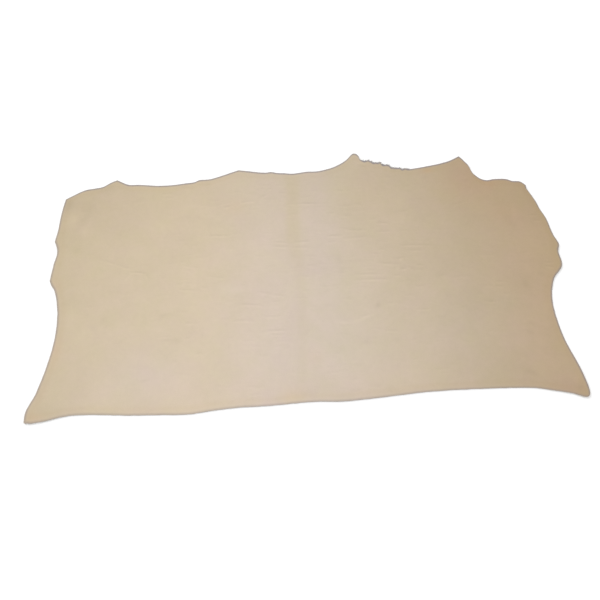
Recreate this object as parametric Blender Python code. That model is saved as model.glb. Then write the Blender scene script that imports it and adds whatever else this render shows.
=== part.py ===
"""A double shoulder of natural vegetable-tanned leather: one flat sheet, laid grain side up.

The front of a cattle hide, left whole across the backbone. The backbone runs along Y and the neck is
at +Y. The long edge at -Y is where the butt was cut off, and the flanks reach out to a point at each
end of that cut. The origin is under the middle of the hide, on the surface that it lies on. Metres,
+Z up.
"""

import math
from collections import namedtuple

import bmesh
import bpy
from mathutils import Vector, geometry, kdtree

THICKNESS = 0.003  # split to one even thickness
EDGE_STEP = 0.006  # from one point of the outline to the next
FIELD_STEP = 0.036  # between the points inside the outline
FIELD_MARGIN = 0.016  # from the outline to the nearest of those
SAME_POINT = 1e-6  # points this close are one
KEEP_INSIDE = 1  # the triangulation keeps only what lies inside its outline

HIDE_COLOUR = (0.611, 0.503, 0.376, 1.0)  # pale russet, linear
HIDE_ROUGHNESS = 0.62

# The outline, clockwise from above, as the places where it changes direction. Across and up are
# millimetres from the middle of the hide. The trimming knife turns at a sharp place and sweeps
# through a soft one. Each edge starts where the one before it ends.
Place = namedtuple("Place", "what across up turn")
LEFT_FLANK_EDGE = (
    Place("left flank point, outer side", -808, -439, "sharp"),
    Place("swell above the point", -805, -404, "soft"),
    Place("flank", -781, -350, "soft"),
    Place("foreleg hollow, low", -741, -195, "soft"),
    Place("foreleg hollow, deepest", -735, -92, "soft"),
    Place("foreleg hollow, high", -749, -8, "soft"),
    Place("under the lower spur", -758, 8, "soft"),
    Place("lower spur", -765, 26, "sharp"),
    Place("between the spurs", -757, 80, "soft"),
    Place("dip under the upper spur", -748, 130, "soft"),
    Place("upper spur", -758, 170, "sharp"),
    Place("over the upper spur", -750, 215, "soft"),
    Place("upper side", -743, 275, "soft"),
)
NECK_EDGE = (
    Place("left shoulder corner", -733, 328, "sharp"),
    Place("left shoulder", -672, 361, "soft"),
    Place("left foot of the outer peak", -616, 371, "soft"),
    Place("side of the outer peak", -594, 384, "soft"),
    Place("left outer peak", -571, 395, "sharp"),
    Place("right foot of the outer peak", -535, 375, "soft"),
    Place("left cheek hollow, near end", -498, 373, "soft"),
    Place("left cheek hollow", -440, 366, "soft"),
    Place("left cheek hollow, far end", -385, 366, "soft"),
    Place("rise to the nib", -352, 370, "soft"),
    Place("under the nib", -322, 373, "soft"),
    Place("nib on the left cheek", -307, 380, "soft"),
    Place("left cheek", -270, 382, "soft"),
    Place("left inner peak", -178, 411, "sharp"),
    Place("neck, left of the backbone", -92, 397, "soft"),
    Place("bump beside the backbone", -74, 399, "soft"),
    Place("dip beside the backbone", -54, 394, "soft"),
    Place("side of the dip", -26, 391, "soft"),
    Place("dip at the backbone", -2, 388, "soft"),
    Place("ripple right of the backbone", 45, 393, "soft"),
    Place("neck, right of the backbone", 79, 393, "soft"),
    Place("foot of the high peak", 130, 405, "soft"),
    Place("side of the high peak", 172, 428, "soft"),
    Place("high peak, near side", 192, 449, "soft"),
    Place("high peak, near corner", 199, 455, "soft"),
    Place("high peak, far corner", 209, 453, "soft"),
    Place("high peak, torn side", 217, 442, "soft"),
    Place("foot of the torn side", 218, 434, "soft"),
    Place("torn edge, top", 222, 429, "soft"),
    Place("torn edge, near end of the shelf", 234, 422, "sharp"),
    Place("first tatter", 245, 426, "soft"),
    Place("second tatter", 256, 420, "soft"),
    Place("after the second tatter", 263, 414, "soft"),
    Place("third tatter", 271, 416, "soft"),
    Place("notch", 279, 413, "sharp"),
    Place("knob", 285, 418, "soft"),
    Place("under the knob", 290, 405, "sharp"),
    Place("shelf after the knob", 303, 405, "soft"),
    Place("end of the shelf", 312, 403, "soft"),
    Place("step", 318, 393, "sharp"),
    Place("fourth tatter", 335, 391, "soft"),
    Place("fifth tatter", 347, 390, "soft"),
    Place("nick", 354, 382, "sharp"),
    Place("last tatter", 363, 387, "soft"),
    Place("torn edge, foot", 373, 383, "soft"),
    Place("right cheek hollow", 392, 385, "soft"),
    Place("right cheek", 502, 404, "soft"),
    Place("right peak", 545, 423, "sharp"),
    Place("side of the right peak", 570, 386, "soft"),
    Place("lower side of the right peak", 580, 356, "soft"),
    Place("foot of the right peak", 602, 331, "soft"),
    Place("dip before the right shoulder", 622, 323, "soft"),
    Place("right shoulder", 645, 326, "soft"),
    Place("edge of the step", 684, 323, "soft"),
    Place("step on the right shoulder", 703, 314, "soft"),
    Place("right shoulder, outer end", 728, 310, "soft"),
)
RIGHT_FLANK_EDGE = (
    Place("right shoulder corner", 744, 294, "sharp"),
    Place("under the corner", 744, 281, "sharp"),
    Place("upper side", 765, 229, "soft"),
    Place("hollow in the upper side", 772, 202, "soft"),
    Place("swell in the upper side", 786, 166, "soft"),
    Place("over the upper lobe", 797, 101, "soft"),
    Place("upper lobe", 808, 63, "soft"),
    Place("nick between the lobes", 801, 38, "soft"),
    Place("lower lobe", 803, -12, "soft"),
    Place("under the lobe", 770, -59, "soft"),
    Place("foreleg hollow, deepest", 751, -130, "soft"),
    Place("foreleg hollow, low", 759, -250, "soft"),
    Place("flank", 791, -371, "soft"),
    Place("outer side of the flank point", 801, -434, "soft"),
)
BUTT_CUT_EDGE = (
    Place("right flank point", 797, -452, "soft"),
    Place("under the right flank point", 788, -455, "soft"),
    Place("flare of the right flank", 750, -441, "soft"),
    Place("foot of the flare", 700, -429, "soft"),
    Place("end of the flare", 650, -418, "soft"),
    Place("cut, far right", 500, -411, "soft"),
    Place("cut, right", 340, -411, "soft"),
    Place("cut, right of the backbone", 195, -421, "soft"),
    Place("sag right of the backbone", 95, -426, "soft"),
    Place("cut at the backbone", 10, -422, "soft"),
    Place("cut, left of the backbone", -125, -427, "soft"),
    Place("start of the bow", -195, -427, "soft"),
    Place("bow of the cut, near end", -265, -431, "soft"),
    Place("bow of the cut, lowest", -345, -439, "soft"),
    Place("bow of the cut, rising", -425, -436, "soft"),
    Place("bow of the cut, far end", -500, -433, "soft"),
    Place("rise before the flare", -675, -423, "soft"),
    Place("under the left flank point", -755, -437, "soft"),
    Place("left flank point, cut side", -786, -441, "sharp"),
)

# Where the leather stands off the surface. Across and up are as above, reach is how far the rise
# spreads, and height is its lift at that place, in millimetres. Everywhere else the hide lies flat.
Rise = namedtuple("Rise", "what across up reach height")
RISES = (
    Rise("left flank point", -800, -440, 170, 2.0),
    Rise("right flank point", 800, -455, 190, 2.0),
    Rise("left spurs", -765, 95, 130, 2.0),
    Rise("right lobes", 812, 20, 150, 2.0),
    Rise("left shoulder corner", -735, 335, 150, 2.0),
    Rise("right shoulder corner", 745, 300, 160, 2.5),
    Rise("left outer peak", -571, 400, 120, 2.0),
    Rise("left inner peak", -178, 415, 130, 2.0),
    Rise("high peak", 205, 460, 150, 4.0),
    Rise("right peak", 548, 430, 150, 3.5),
)


def plan(row):
    """Where a place or a rise is, seen from above, in metres."""
    return Vector((row.across, row.up)) / 1000


def sweep(before, start, end, after):
    """Points from start up to end, EDGE_STEP apart, on the smooth (centripetal) line through all four."""
    knots = [0.0]
    for a, b in ((before, start), (start, end), (end, after)):
        knots.append(knots[-1] + math.sqrt((b - a).length))
    t0, t1, t2, t3 = knots
    steps = max(1, round((end - start).length / EDGE_STEP))
    points = []
    for i in range(steps):
        t = t1 + (t2 - t1) * i / steps
        first = before.lerp(start, (t - t0) / (t1 - t0))
        middle = start.lerp(end, (t - t1) / (t2 - t1))
        last = end.lerp(after, (t - t2) / (t3 - t2))
        left = first.lerp(middle, (t - t0) / (t2 - t0))
        right = middle.lerp(last, (t - t1) / (t3 - t1))
        points.append(left.lerp(right, (t - t1) / (t2 - t1)))
    return points


def outline_points():
    """The whole outline. It runs straight into a sharp place and straight out, and so breaks there."""
    places = LEFT_FLANK_EDGE + NECK_EDGE + RIGHT_FLANK_EDGE + BUTT_CUT_EDGE
    points = []
    for i, place in enumerate(places):
        following = places[(i + 1) % len(places)]
        start = plan(place)
        end = plan(following)
        before = plan(places[i - 1]) if place.turn == "soft" else 2 * start - end
        after = plan(places[(i + 2) % len(places)]) if following.turn == "soft" else 2 * end - start
        points += sweep(before, start, end, after)
    return points


def field_points(outline):
    """Rows of points all over the hide, every other row set off by half a step, clear of the outline."""
    edge = kdtree.KDTree(len(outline))
    for i, point in enumerate(outline):
        edge.insert(point.to_3d(), i)
    edge.balance()
    row_step = FIELD_STEP * math.sqrt(3) / 2
    rows = math.ceil(max(abs(point.y) for point in outline) / row_step)
    columns = math.ceil(max(abs(point.x) for point in outline) / FIELD_STEP)
    points = []
    for row in range(-rows, rows + 1):
        for column in range(-columns, columns + 1):
            point = Vector(((column + row % 2 / 2) * FIELD_STEP, row * row_step))
            if edge.find(point.to_3d())[2] > FIELD_MARGIN:
                points.append(point)
    return points


def lift(point):
    """How far the underside stands off the surface there: the highest of the rises that reach it."""
    height = 0.0
    for rise in RISES:
        nearness = 1 - (point - plan(rise)).length / (rise.reach / 1000)
        if nearness > 0:
            height = max(height, rise.height / 1000 * nearness**2 * (3 - 2 * nearness))
    return height


def underside():
    """The underside of the hide: one sheet of triangles that look up, without the points outside it."""
    outline = outline_points()
    loops = [list(range(len(outline)))]
    flat = outline + field_points(outline)
    points, _, triangles, *_ = geometry.delaunay_2d_cdt(flat, [], loops, KEEP_INSIDE, SAME_POINT)
    mesh = bpy.data.meshes.new("hide")
    mesh.from_pydata([(*point, lift(point)) for point in points], [], triangles)
    sheet = bmesh.new()
    sheet.from_mesh(mesh)
    outside = [point for point in sheet.verts if not point.link_faces]
    bmesh.ops.delete(sheet, geom=outside, context="VERTS")
    sheet.to_mesh(mesh)
    sheet.free()
    return mesh


def leather():
    """Undyed vegetable-tanned leather."""
    material = bpy.data.materials.new("vegetable_tanned_leather")
    material.use_nodes = True
    finish = material.node_tree.nodes["Principled BSDF"].inputs
    finish["Base Color"].default_value = HIDE_COLOUR
    finish["Roughness"].default_value = HIDE_ROUGHNESS
    finish["Metallic"].default_value = 0.0
    return material


def build():
    for old in list(bpy.data.objects):
        bpy.data.objects.remove(old)
    hide = bpy.data.objects.new("hide", underside())
    bpy.context.scene.collection.objects.link(hide)
    hide.data.materials.append(leather())
    solid = hide.modifiers.new("split thickness", "SOLIDIFY")
    solid.thickness = THICKNESS
    solid.offset = 1.0


build()
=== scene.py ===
"""A double shoulder of natural vegetable-tanned leather, laid flat on a white floor, grain side up.

The front of a cattle hide, left whole across the backbone. The backbone runs along Y, the neck is at +Y,
and the long edge at -Y is where the butt was cut off. Metres, +Z up; the hide's own values are in
millimetres from its middle: across is along X, and up is along Y, towards the neck.
"""

import math
from collections import namedtuple

import bpy
import numpy as np
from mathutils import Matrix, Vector


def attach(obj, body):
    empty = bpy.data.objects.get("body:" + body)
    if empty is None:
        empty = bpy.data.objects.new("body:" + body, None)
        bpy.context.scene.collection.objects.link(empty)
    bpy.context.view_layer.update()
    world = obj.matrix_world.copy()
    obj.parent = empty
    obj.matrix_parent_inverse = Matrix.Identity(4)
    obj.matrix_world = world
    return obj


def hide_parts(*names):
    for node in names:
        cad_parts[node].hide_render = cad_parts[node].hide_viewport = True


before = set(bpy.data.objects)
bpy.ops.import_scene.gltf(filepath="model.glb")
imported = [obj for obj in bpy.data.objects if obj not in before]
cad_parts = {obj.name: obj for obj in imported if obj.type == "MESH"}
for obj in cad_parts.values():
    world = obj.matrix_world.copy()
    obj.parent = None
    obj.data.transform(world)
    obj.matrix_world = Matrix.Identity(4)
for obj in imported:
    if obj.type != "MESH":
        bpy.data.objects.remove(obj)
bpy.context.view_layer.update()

# ---------------------------------------------------------------------------------------------------
# The hide: the neck and shoulders of one cattle skin, tanned in bark liquor and split to 3 mm. It has
# no hem: its edge is trimmed wet with a hooked knife, except for one stretch of the neck, which tore.
# It lies flat on its flesh side, and only its thin points and lobes curl up.

# The outline, clockwise from above, as the places where it changes direction. The knife sweeps through
# them all but the sharp ones, where it turns. An edge ends at the first place of the next.
Place = namedtuple("Place", "what across up turn", defaults=["soft"])
LEFT_FLANK_EDGE = (
    Place("left flank point, outer side", -808, -439, "sharp"),
    Place("swell above the point", -805, -404),
    Place("flank", -781, -350),
    Place("foreleg hollow, low", -741, -195),
    Place("foreleg hollow, deepest", -735, -92),
    Place("foreleg hollow, high", -749, -8),
    Place("under the lower spur", -758, 8),
    Place("lower spur", -765, 26, "sharp"),
    Place("between the spurs", -757, 80),
    Place("dip under the upper spur", -748, 130),
    Place("upper spur", -758, 170, "sharp"),
    Place("over the upper spur", -750, 215),
    Place("upper side", -743, 275),
)
NECK_EDGE = (
    Place("left shoulder corner", -733, 328, "sharp"),
    Place("left shoulder", -672, 361),
    Place("left foot of the outer peak", -616, 371),
    Place("side of the outer peak", -594, 384),
    Place("left outer peak", -571, 395, "sharp"),
    Place("right foot of the outer peak", -535, 375),
    Place("left cheek hollow, near end", -498, 373),
    Place("left cheek hollow", -440, 366),
    Place("left cheek hollow, far end", -385, 366),
    Place("rise to the nib", -352, 370),
    Place("under the nib", -322, 373),
    Place("nib on the left cheek", -307, 380),
    Place("left cheek", -270, 382),
    Place("left inner peak", -178, 411, "sharp"),
    Place("neck, left of the backbone", -92, 397),
    Place("bump beside the backbone", -74, 399),
    Place("dip beside the backbone", -54, 394),
    Place("side of the dip", -26, 391),
    Place("dip at the backbone", -2, 388),
    Place("ripple right of the backbone", 45, 393),
    Place("neck, right of the backbone", 79, 393),
    Place("foot of the high peak", 130, 405),
    Place("side of the high peak", 172, 428),
    Place("high peak, near side", 192, 449),
    Place("high peak, near corner", 199, 455),
    Place("high peak, far corner", 209, 453),
    Place("high peak, torn side", 217, 442),
    Place("foot of the torn side", 218, 434),
    Place("torn edge, top", 222, 429),
    Place("torn edge, near end of the shelf", 234, 422, "sharp"),
    Place("first tatter", 245, 426),
    Place("second tatter", 256, 420),
    Place("after the second tatter", 263, 414),
    Place("third tatter", 271, 416),
    Place("notch", 279, 413, "sharp"),
    Place("knob", 285, 418),
    Place("under the knob", 290, 405, "sharp"),
    Place("shelf after the knob", 303, 405),
    Place("end of the shelf", 312, 403),
    Place("step", 318, 393, "sharp"),
    Place("fourth tatter", 335, 391),
    Place("fifth tatter", 347, 390),
    Place("nick", 354, 382, "sharp"),
    Place("last tatter", 363, 387),
    Place("torn edge, foot", 373, 383),
    Place("right cheek hollow", 392, 385),
    Place("right cheek", 502, 404),
    Place("right peak", 545, 423, "sharp"),
    Place("side of the right peak", 570, 386),
    Place("lower side of the right peak", 580, 356),
    Place("foot of the right peak", 602, 331),
    Place("dip before the right shoulder", 622, 323),
    Place("right shoulder", 645, 326),
    Place("edge of the step", 684, 323),
    Place("step on the right shoulder", 703, 314),
    Place("right shoulder, outer end", 728, 310),
)
RIGHT_FLANK_EDGE = (
    Place("right shoulder corner", 744, 294, "sharp"),
    Place("under the corner", 744, 281, "sharp"),
    Place("upper side", 765, 229),
    Place("hollow in the upper side", 772, 202),
    Place("swell in the upper side", 786, 166),
    Place("over the upper lobe", 797, 101),
    Place("upper lobe", 808, 63),
    Place("nick between the lobes", 801, 38),
    Place("lower lobe", 803, -12),
    Place("under the lobe", 770, -59),
    Place("foreleg hollow, deepest", 751, -130),
    Place("foreleg hollow, low", 759, -250),
    Place("flank", 791, -371),
    Place("outer side of the flank point", 801, -434),
)
BUTT_CUT_EDGE = (
    Place("right flank point", 797, -452),
    Place("under the right flank point", 788, -455),
    Place("flare of the right flank", 750, -441),
    Place("foot of the flare", 700, -429),
    Place("end of the flare", 650, -418),
    Place("cut, far right", 500, -411),
    Place("cut, right", 340, -411),
    Place("cut, right of the backbone", 195, -421),
    Place("sag right of the backbone", 95, -426),
    Place("cut at the backbone", 10, -422),
    Place("cut, left of the backbone", -125, -427),
    Place("start of the bow", -195, -427),
    Place("bow of the cut, near end", -265, -431),
    Place("bow of the cut, lowest", -345, -439),
    Place("bow of the cut, rising", -425, -436),
    Place("bow of the cut, far end", -500, -433),
    Place("rise before the flare", -675, -423),
    Place("under the left flank point", -755, -437),
    Place("left flank point, cut side", -786, -441, "sharp"),
)
PLACES = LEFT_FLANK_EDGE + NECK_EDGE + RIGHT_FLANK_EDGE + BUTT_CUT_EDGE

EDGE_ACROSS = 660  # points along the neck edge, and along the butt cut, 2.5 mm apart
EDGE_UP = 330  # points up each flank edge
WIDE, HIGH = 1560.0, 810.0  # the hide's usual width and height, which turn an inset into a share
MM = 0.001

TORN_FROM, TORN_TO = 220, 392  # the torn stretch of the neck edge, across
TORN_SETS_IN, TORN_DIES_OUT = 12, 40  # how long its tatters take to set in, and to die out
TATTER_DEPTH = 1.2  # how far the tatters stand in and out
TATTER_PITCH = 5.0  # from one tatter to the next
TATTER_SEED = 11
FINE_TATTERS = 0.6  # as a share of the coarse ones, at half their pitch
FINE_TATTER_SEED = 12
KNIFE_WAVER = 0.35  # how far the knife strays elsewhere
KNIFE_PITCH = 14.0
KNIFE_SEED = 13


def sweep(before, start, end, after, steps):
    """Points from start up to end on the smooth (centripetal) line through all four."""
    legs = [math.sqrt(math.dist(a, b)) for a, b in ((before, start), (start, end), (end, after))]
    knots = np.cumsum([0.0, *legs])
    t = np.linspace(knots[1], knots[2], steps, endpoint=False)[:, None]

    def blend(a, b, first, last):
        return a + (b - a) * (t - knots[first]) / (knots[last] - knots[first])

    middle = blend(start, end, 1, 2)
    left = blend(blend(before, start, 0, 1), middle, 0, 2)
    right = blend(middle, blend(end, after, 2, 3), 1, 3)
    return blend(left, right, 1, 2)


def edge_line(edge, count):
    """One edge as count + 1 points, evenly spread, with one on each of its places."""
    first = PLACES.index(edge[0])
    places = [PLACES[(first + i) % len(PLACES)] for i in range(-1, len(edge) + 2)]
    plan = [np.array((place.across, place.up), float) for place in places]
    lengths = [math.dist(plan[i], plan[i + 1]) for i in range(1, len(edge) + 1)]
    reached = np.cumsum([0.0, *lengths])
    at = np.rint(reached / reached[-1] * count).astype(int)
    spans = []
    for i in range(1, len(edge) + 1):
        start, end = plan[i], plan[i + 1]
        before = plan[i - 1] if places[i].turn == "soft" else 2 * start - end
        after = plan[i + 2] if places[i + 1].turn == "soft" else 2 * end - start
        spans.append(sweep(before, start, end, after, at[i] - at[i - 1]))
    return np.concatenate([*spans, plan[len(edge) + 1][None]])


left_edge = edge_line(LEFT_FLANK_EDGE, EDGE_UP)
neck_edge = edge_line(NECK_EDGE, EDGE_ACROSS)
right_edge = edge_line(RIGHT_FLANK_EDGE, EDGE_UP)[::-1]
cut_edge = edge_line(BUTT_CUT_EDGE, EDGE_ACROSS)[::-1]


def along_line(line, share):
    """The points at these shares of the way along a line."""
    steps = np.linspace(0, 1, len(line))
    return np.stack([np.interp(share, steps, line[:, k]) for k in (0, 1)], axis=-1)


def on_hide(across, up):
    """Where these shares of the way from flank to flank and from cut to neck lie, seen from above."""
    u = across[..., None]
    v = up[..., None]
    corners = (1 - u) * (1 - v) * cut_edge[0] + u * (1 - v) * cut_edge[-1]
    corners = corners + (1 - u) * v * neck_edge[0] + u * v * neck_edge[-1]
    rows = (1 - v) * along_line(cut_edge, across) + v * along_line(neck_edge, across)
    columns = (1 - u) * along_line(left_edge, up) + u * along_line(right_edge, up)
    return rows + columns - corners


def inset_share(share, inset, size):
    """The share of the way, squeezed in by an inset at both ends."""
    return inset / size + share * (1 - 2 * inset / size)


def ring(inset):
    """The points round the hide, clockwise from the left flank point, this far in from the edge."""
    u = np.linspace(0, 1, EDGE_ACROSS, endpoint=False)
    v = np.linspace(0, 1, EDGE_UP, endpoint=False)
    across = np.concatenate([np.zeros(EDGE_UP), u, np.ones(EDGE_UP), 1 - u])
    up = np.concatenate([v, np.ones(EDGE_ACROSS), 1 - v, np.zeros(EDGE_ACROSS)])
    return on_hide(inset_share(across, inset, WIDE), inset_share(up, inset, HIGH))


def eased(share):
    """A share from 0 to 1, slowed down towards both ends."""
    return share**2 * (3 - 2 * share)


def uneven(length, pitch, seed):
    """A smooth random line round a closed run: at each point, from -1 to 1. It turns once a pitch."""
    values = np.random.default_rng(seed).uniform(-1, 1, round(length[-1] / pitch))
    at = length / length[-1] * len(values)
    whole = np.floor(at).astype(int)
    part = eased(at - whole)
    return values[whole % len(values)] * (1 - part) + values[(whole + 1) % len(values)] * part


outline = ring(0.0)
forward = np.roll(outline, -1, axis=0) - np.roll(outline, 1, axis=0)
outward = np.stack([-forward[:, 1], forward[:, 0]], axis=1)
outward /= np.linalg.norm(outward, axis=1)[:, None]
walked = np.cumsum(np.linalg.norm(outline - np.roll(outline, 1, axis=0), axis=1))
on_neck = np.zeros(len(outline))
on_neck[EDGE_UP:EDGE_UP + EDGE_ACROSS] = 1
sets_in = np.clip((outline[:, 0] - TORN_FROM) / TORN_SETS_IN, 0, 1)
dies_out = np.clip((TORN_TO - outline[:, 0]) / TORN_DIES_OUT, 0, 1)
torn = on_neck * sets_in * dies_out
tatters = uneven(walked, TATTER_PITCH, TATTER_SEED)
tatters += FINE_TATTERS * uneven(walked, TATTER_PITCH / 2, FINE_TATTER_SEED)
waver = KNIFE_WAVER * uneven(walked, KNIFE_PITCH, KNIFE_SEED)
stray = waver * (1 - torn) + TATTER_DEPTH * tatters * torn

# How dark each edge's rim is painted: partly the colour of the fibres that the knife opened, and partly
# painted shade along the edge. The neck is darkest, and the butt cut lightest.
RIM_DARKNESS = (0.55, 0.88, 0.68, 0.3)  # left flank, neck, right flank, butt cut
TORN_RIM_DARKNESS = 1.1  # and the torn stretch
RIM_DARKNESS_BLEND = 12  # points to either side over which one edge's shade turns into the next one's
rim_darkness = np.repeat(RIM_DARKNESS, (EDGE_UP, EDGE_ACROSS, EDGE_UP, EDGE_ACROSS))
rim_darkness = np.mean([np.roll(rim_darkness, k) for k in range(-RIM_DARKNESS_BLEND, RIM_DARKNESS_BLEND + 1)], axis=0)
rim_darkness += (TORN_RIM_DARKNESS - rim_darkness) * torn

THICK = 3.0

# Where the hide stands off the floor. Reach is how far a rise spreads, and height is its lift at that
# place.
Rise = namedtuple("Rise", "what across up reach height")
RISES = (
    Rise("left flank point", -800, -440, 170, 2.0),
    Rise("right flank point", 800, -455, 190, 2.0),
    Rise("left spurs", -765, 95, 130, 2.0),
    Rise("right lobes", 812, 20, 150, 2.0),
    Rise("left shoulder corner", -735, 335, 150, 2.0),
    Rise("right shoulder corner", 745, 300, 160, 2.5),
    Rise("left outer peak", -571, 400, 120, 2.0),
    Rise("left inner peak", -178, 415, 130, 2.0),
    Rise("high peak", 205, 460, 150, 4.0),
    Rise("right peak", 548, 430, 150, 3.5),
)

# Growth wrinkles and old scars: soft troughs in the grain, each by the place of its middle. They lie
# across the backbone, and depth is the trough's.
GROWTH_TILT = -3.5  # degrees from across, the usual lie
WRINKLE_HALF = 3.4  # half the width of a trough
WRINKLE_TAPER = 0.75  # the power by which a trough dies out towards its ends
WRINKLE_BOW = 1.3  # how far the middle of a trough strays off the straight
LIP_AWAY = 6.3  # from the trough to the lip on its cut side
LIP_SHARE = 0.85  # of the trough's depth
Wrinkle = namedtuple("Wrinkle", "across up long tilt depth")
WRINKLES = (
    Wrinkle(-407, 331, 51, -3, 0.32),
    Wrinkle(-404, 316, 45, -1, 0.28),
    Wrinkle(-292, 281, 25, -3, 0.28),
    Wrinkle(-219, 284, 26, -3, 0.28),
    Wrinkle(-219, 268, 25, -3, 0.32),
    Wrinkle(-152, 284, 51, 5, 0.36),
    Wrinkle(-106, 303, 43, 24, 0.32),
    Wrinkle(-40, 312, 29, -3, 0.28),
    Wrinkle(-244, 161, 75, -3, 0.60),
    Wrinkle(-59, 125, 47, -3, 0.36),
    Wrinkle(-55, 109, 56, -5, 0.40),
    Wrinkle(-369, 148, 25, -3, 0.28),
    Wrinkle(-332, 51, 50, -14, 0.36),
    Wrinkle(-369, -9, 24, -3, 0.28),
    Wrinkle(-345, -31, 73, -8, 0.40),
    Wrinkle(-296, -24, 24, -3, 0.28),
    Wrinkle(-259, 9, 50, -12, 0.36),
    Wrinkle(-115, -53, 49, -12, 0.36),
    Wrinkle(-71, -67, 55, -13, 0.40),
    Wrinkle(-153, -94, 72, -6, 0.44),
    Wrinkle(-95, -137, 48, -3, 0.36),
    Wrinkle(-179, -149, 71, -3, 0.40),
    Wrinkle(-86, -187, 71, -1, 0.60),
    Wrinkle(-83, -200, 41, -3, 0.36),
    Wrinkle(-84, -86, 30, -3, 0.28),
    Wrinkle(-345, -149, 24, -3, 0.24),
    Wrinkle(-346, -196, 24, -3, 0.24),
    Wrinkle(-87, -242, 26, -3, 0.24),
    Wrinkle(-147, -236, 35, -3, 0.24),
    Wrinkle(33, 294, 35, 3, 0.32),
    Wrinkle(36, 266, 77, -3, 0.64),
    Wrinkle(153, 253, 51, -3, 0.44),
    Wrinkle(193, 255, 29, -3, 0.36),
    Wrinkle(155, 310, 58, -3, 0.36),
    Wrinkle(161, 212, 29, -3, 0.32),
    Wrinkle(109, 225, 25, -3, 0.28),
    Wrinkle(237, 192, 26, 5, 0.36),
    Wrinkle(271, 176, 47, -3, 0.56),
    Wrinkle(181, 158, 78, -5, 0.60),
    Wrinkle(269, 147, 47, -3, 0.40),
    Wrinkle(115, 137, 50, -3, 0.64),
    Wrinkle(179, 129, 79, 2, 0.48),
    Wrinkle(102, 115, 29, 11, 0.36),
    Wrinkle(14, 124, 50, -3, 0.56),
    Wrinkle(5, 103, 65, -3, 0.40),
    Wrinkle(35, 68, 49, -3, 0.36),
    Wrinkle(251, 78, 25, 5, 0.32),
    Wrinkle(308, 47, 53, 4, 0.40),
    Wrinkle(270, 28, 74, -9, 0.44),
    Wrinkle(205, -8, 98, -3, 0.48),
    Wrinkle(215, -28, 122, -2, 0.52),
    Wrinkle(290, 8, 14, 75, 0.60),
    Wrinkle(316, 5, 26, 8, 0.72),
    Wrinkle(294, -17, 20, -4, 0.60),
    Wrinkle(302, 40, 16, 50, 0.48),
    Wrinkle(322, 38, 16, -50, 0.40),
    Wrinkle(339, 5, 24, -40, 0.52),
    Wrinkle(366, 15, 28, -3, 0.40),
    Wrinkle(366, 0, 31, -3, 0.32),
    Wrinkle(362, 71, 50, -3, 0.40),
    Wrinkle(362, 88, 103, -3, 0.48),
    Wrinkle(18, -4, 24, -3, 0.28),
    Wrinkle(15, -53, 24, -3, 0.28),
    Wrinkle(135, -92, 28, -18, 0.32),
    Wrinkle(358, -139, 48, -3, 0.40),
    Wrinkle(340, 220, 29, 4, 0.32),
    Wrinkle(436, -26, 24, -3, 0.32),
    Wrinkle(257, -208, 47, -8, 0.36),
    Wrinkle(602, -58, 30, -2, 0.28),
    Wrinkle(601, -73, 30, -2, 0.32),
    Wrinkle(618, -101, 26, -2, 0.28),
    Wrinkle(568, -126, 34, -2, 0.36),
    Wrinkle(765, 1, 34, 0, 0.44),
    Wrinkle(763, -14, 30, -12, 0.44),
    Wrinkle(740, 178, 30, -2, 0.40),
    Wrinkle(752, 158, 30, -2, 0.36),
    Wrinkle(226, 401, 44, -9, 0.28),
    Wrinkle(-590, 84, 70, -24, 0.36),
    Wrinkle(-534, 62, 60, -22, 0.40),
    Wrinkle(-498, 40, 52, -8, 0.48),
    Wrinkle(-470, 26, 34, -58, 0.40),
    Wrinkle(-532, 26, 30, 60, 0.32),
)

# Fainter wrinkles fill in between, thickest on the neck and towards the backbone.
FAINT_COUNT = 420
FAINT_SEED = 5
FAINT_ACROSS, FAINT_SPREAD = 30, 330  # their middle, and how far across they spread about it
FAINT_REACH = 740  # none lies farther across
FAINT_UP = (-400, 380)
FAINT_AT_CUT = 0.35  # how thick they lie at the cut, against 1 at the neck
FAINT_LONG = (12.0, 60.0)
FAINT_TURN = 6  # degrees to either side of the usual lie
FAINT_DEPTH = (0.06, 0.20)

# The slack band down the backbone. Each table gives a value at some heights up the hide.
BACKBONE = ((-422, -20), (-223, -8), (-53, 0), (48, -8), (130, -16), (382, -5))  # up, how far across
SLACK_HALF = ((0, 15), (120, 23))  # up, half the width of the band
SLACKNESS = ((-430, 0.15), (20, 0.25), (140, 0.85), (340, 0.9), (385, 0.5))  # up, from 0 to 1
SLACK_DEPTH = 0.35

# Slow unevenness. Each swell is a few waves, every one its own way and about one pitch long.
Swell = namedtuple("Swell", "what height pitch seed")
SWELLS = (
    Swell("broad", 0.25, 230, 21),
    Swell("close", 0.08, 60, 22),
)
SWELL_WAVES = 7
WAVE_LONG = (0.7, 1.4)  # the shortest and the longest wave, in pitches


def lift(points):
    """How far the flesh side stands off the floor: the highest of the rises that reach each point."""
    height = np.zeros(points.shape[:-1])
    for rise in RISES:
        away = np.hypot(points[..., 0] - rise.across, points[..., 1] - rise.up)
        height = np.maximum(height, rise.height * eased(np.clip(1 - away / rise.reach, 0, 1)))
    return height


def lie(points, across, up, tilt):
    """How far points are along and off a line through a place at this tilt."""
    turn = math.radians(tilt)
    x = points[..., 0] - across
    y = points[..., 1] - up
    return x * math.cos(turn) + y * math.sin(turn), y * math.cos(turn) - x * math.sin(turn)


def faint_wrinkles(draw):
    """The fainter wrinkles, each drawn at random."""
    low, high = FAINT_UP
    found = []
    while len(found) < FAINT_COUNT:
        across = draw.normal(FAINT_ACROSS, FAINT_SPREAD)
        up = draw.uniform(low, high)
        thickness = FAINT_AT_CUT + (1 - FAINT_AT_CUT) * (up - low) / (high - low)
        if draw.random() < thickness and abs(across) < FAINT_REACH:
            long = draw.uniform(*FAINT_LONG)
            tilt = draw.normal(GROWTH_TILT, FAINT_TURN)
            found.append(Wrinkle(across, up, long, tilt, draw.uniform(*FAINT_DEPTH)))
    return found


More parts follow.
